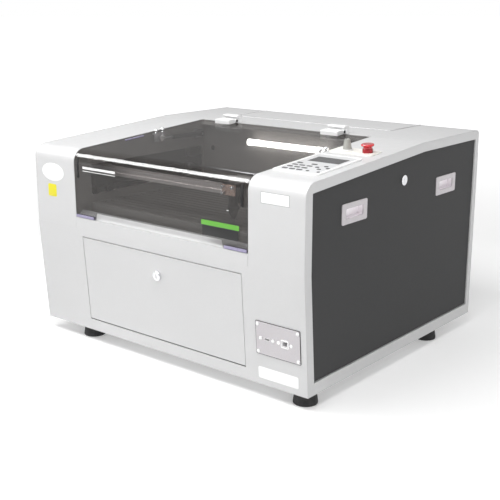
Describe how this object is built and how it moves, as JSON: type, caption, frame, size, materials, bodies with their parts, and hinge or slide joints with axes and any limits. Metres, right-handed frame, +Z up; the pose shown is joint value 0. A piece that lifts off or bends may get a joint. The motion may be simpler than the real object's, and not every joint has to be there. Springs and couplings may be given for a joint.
{
  "type": "desktop laser cutter",
  "caption": "Bench-top laser cutter: bent-sheet cabinet with a tinted hinged lid, side service panels, front clean-out door, console controls and a two-axis gantry.",
  "frame": {"origin": "on the floor, under the middle of the machine's bounding box", "axes": "+X to the right seen from the front, +Y towards the rear, +Z up; the front faces -Y"},
  "size_m": [0.86, 0.7939, 0.55],
  "materials": {
    "cabinet_paint": "light grey powder coat, satin",
    "panel_paint": "charcoal powder coat, fine texture",
    "chamber_paint": "dark grey powder coat",
    "plain_steel": "zinc plated",
    "machined_aluminium": "anodised",
    "tinted_acrylic": "smoke tinted clear sheet, polished",
    "white_plastic": "moulded, satin",
    "cream_plastic": "moulded",
    "grey_plastic": "moulded, fine texture",
    "black_plastic": "moulded",
    "dark_glass": "glossy display window",
    "red_plastic": "moulded, glossy",
    "foot_rubber": "moulded rubber",
    "bright_chrome": "polished",
    "handle_metal": "satin die casting",
    "tube_glass": "clear borosilicate",
    "lamp_glass": "white diffuser",
    "board_green": "circuit board",
    "belt_rubber": "toothed belt",
    "plate_aluminium": "fine brushed"
  },
  "bodies": {
    "cabinet": {"base_pan": "cabinet_paint", "bed_frame": "chamber_paint", "bed_slats": "chamber_paint", "chamber_rear_wall": "chamber_paint", "chamber_side_walls": "chamber_paint", "control_bezel": "white_plastic", "controller_board": "board_green", "deck_hinge_leaves": "white_plastic", "display": "dark_glass", "estop_base": "red_plastic", "fan_housing": "black_plastic", "foot_pads": "foot_rubber", "front_panel": "cabinet_paint", "hinge_pins": "plain_steel", "io_plate": "plate_aluminium", "io_sockets": "plate_aluminium", "keypad": "grey_plastic", "laser_power_supply": "plain_steel", "laser_tube": "tube_glass", "left_console": "cabinet_paint", "left_side_frame": "cabinet_paint", "power_inlet": "black_plastic", "rear_cover": "cabinet_paint", "rear_deck": "cabinet_paint", "rear_panel": "cabinet_paint", "right_console": "cabinet_paint", "right_side_frame": "cabinet_paint", "scrap_tray": "chamber_paint", "strut_wall_brackets": "plain_steel", "switch_plate": "cream_plastic", "tube_holders": "plain_steel", "work_lamp": "lamp_glass", "y_belts": "belt_rubber", "y_motor": "black_plastic", "y_rails": "machined_aluminium"},
    "lid": {"lid": "tinted_acrylic", "lid_hinge_leaves": "white_plastic", "strut_lid_brackets": "plain_steel"},
    "strut_tube_left": {"strut_tube_left": "black_plastic"},
    "strut_tube_right": {"strut_tube_right": "black_plastic"},
    "strut_rod_left": {"strut_rod_left": "bright_chrome"},
    "strut_rod_right": {"strut_rod_right": "bright_chrome"},
    "front_door": {"front_door": "cabinet_paint"},
    "front_door_lock": {"front_door_lock": "bright_chrome"},
    "left_side_panel": {"left_side_panel": "panel_paint", "left_panel_pulls": "handle_metal"},
    "right_side_panel": {"right_side_panel": "panel_paint", "right_panel_pulls": "handle_metal"},
    "left_panel_lock": {"left_panel_lock": "bright_chrome"},
    "right_panel_lock": {"right_panel_lock": "bright_chrome"},
    "gantry": {"gantry_beam": "machined_aluminium", "gantry_carriages": "machined_aluminium", "x_motor": "black_plastic", "x_belt": "belt_rubber"},
    "laser_head": {"head_carriage": "machined_aluminium", "laser_head": "black_plastic"},
    "y_drive_shaft": {"y_drive_shaft": "plain_steel"},
    "estop_head": {"estop_head": "red_plastic"},
    "rotary_knob": {"rotary_knob": "grey_plastic"},
    "fan_rotor": {"fan_rotor": "black_plastic"}
  },
  "joints": [
    {"name": "lid_hinge", "type": "hinge", "parent": "cabinet", "child": "lid", "pos_m": [0, 0.0786, 0.53572], "axis": [-1, 0, 0], "range_deg": [0, 62]},
    {"name": "strut_left_pivot", "type": "hinge", "parent": "cabinet", "child": "strut_tube_left", "pos_m": [-0.262, 0.055, 0.494], "axis": [-1, 0, 0], "range_deg": [0, 61.81]},
    {"name": "strut_left_rod_slide", "type": "slide", "parent": "strut_tube_left", "child": "strut_rod_left", "axis": [0, -0.9997, 0.025], "range_m": [0, 0.04982]},
    {"name": "strut_right_pivot", "type": "hinge", "parent": "cabinet", "child": "strut_tube_right", "pos_m": [0.262, 0.055, 0.494], "axis": [-1, 0, 0], "range_deg": [0, 61.81]},
    {"name": "strut_right_rod_slide", "type": "slide", "parent": "strut_tube_right", "child": "strut_rod_right", "axis": [0, -0.9997, 0.025], "range_m": [0, 0.04982]},
    {"name": "front_door_hinge", "type": "hinge", "parent": "cabinet", "child": "front_door", "pos_m": [0, -0.37346, 0.06726], "axis": [1, 0, 0], "range_deg": [0, 90]},
    {"name": "front_door_lock_turn", "type": "hinge", "parent": "front_door", "child": "front_door_lock", "pos_m": [0, -0.38978, 0.22852], "axis": [0, -0.9976, -0.0699], "range_deg": [0, 90]},
    {"name": "left_panel_tilt", "type": "hinge", "parent": "cabinet", "child": "left_side_panel", "pos_m": [-0.426, 0, 0.0625], "axis": [0, -1, 0], "range_deg": [0, 12]},
    {"name": "left_panel_lock_turn", "type": "hinge", "parent": "left_side_panel", "child": "left_panel_lock", "pos_m": [-0.43, -0.006, 0.452], "axis": [1, 0, 0], "range_deg": [0, 90]},
    {"name": "right_panel_tilt", "type": "hinge", "parent": "cabinet", "child": "right_side_panel", "pos_m": [0.426, 0, 0.0625], "axis": [0, 1, 0], "range_deg": [0, 12]},
    {"name": "right_panel_lock_turn", "type": "hinge", "parent": "right_side_panel", "child": "right_panel_lock", "pos_m": [0.43, -0.006, 0.452], "axis": [1, 0, 0], "range_deg": [0, 90]},
    {"name": "gantry_y", "type": "slide", "parent": "cabinet", "child": "gantry", "axis": [0, 1, 0], "range_m": [0, 0.3]},
    {"name": "head_x", "type": "slide", "parent": "gantry", "child": "laser_head", "axis": [-1, 0, 0], "range_m": [0, 0.4]},
    {"name": "drive_shaft_spin", "type": "hinge", "parent": "cabinet", "child": "y_drive_shaft", "pos_m": [0, 0.057, 0.398], "axis": [-1, 0, 0], "range_deg": [0, 1557.5]},
    {"name": "estop_press", "type": "slide", "parent": "cabinet", "child": "estop_head", "axis": [0, 0.0668, -0.9978], "range_m": [0, 0.004]},
    {"name": "knob_turn", "type": "hinge", "parent": "cabinet", "child": "rotary_knob", "pos_m": [0.325, -0.09101, 0.52436], "axis": [0, -0.0668, 0.9978], "range_deg": [-150, 150]},
    {"name": "fan_spin", "type": "hinge", "parent": "cabinet", "child": "fan_rotor", "pos_m": [0.25, 0.343, 0.362], "axis": [0, 1, 0], "continuous": true}
  ],
  "couplings": [
    {"joint": "strut_left_pivot", "follows": "lid_hinge", "ratio": 0.98886},
    {"joint": "strut_left_rod_slide", "follows": "lid_hinge", "m_per_rad": 0.045582},
    {"joint": "strut_right_pivot", "follows": "lid_hinge", "ratio": 0.98886},
    {"joint": "strut_right_rod_slide", "follows": "lid_hinge", "m_per_rad": 0.045582},
    {"joint": "drive_shaft_spin", "follows": "gantry_y", "rad_per_m": 90.498}
  ]
}
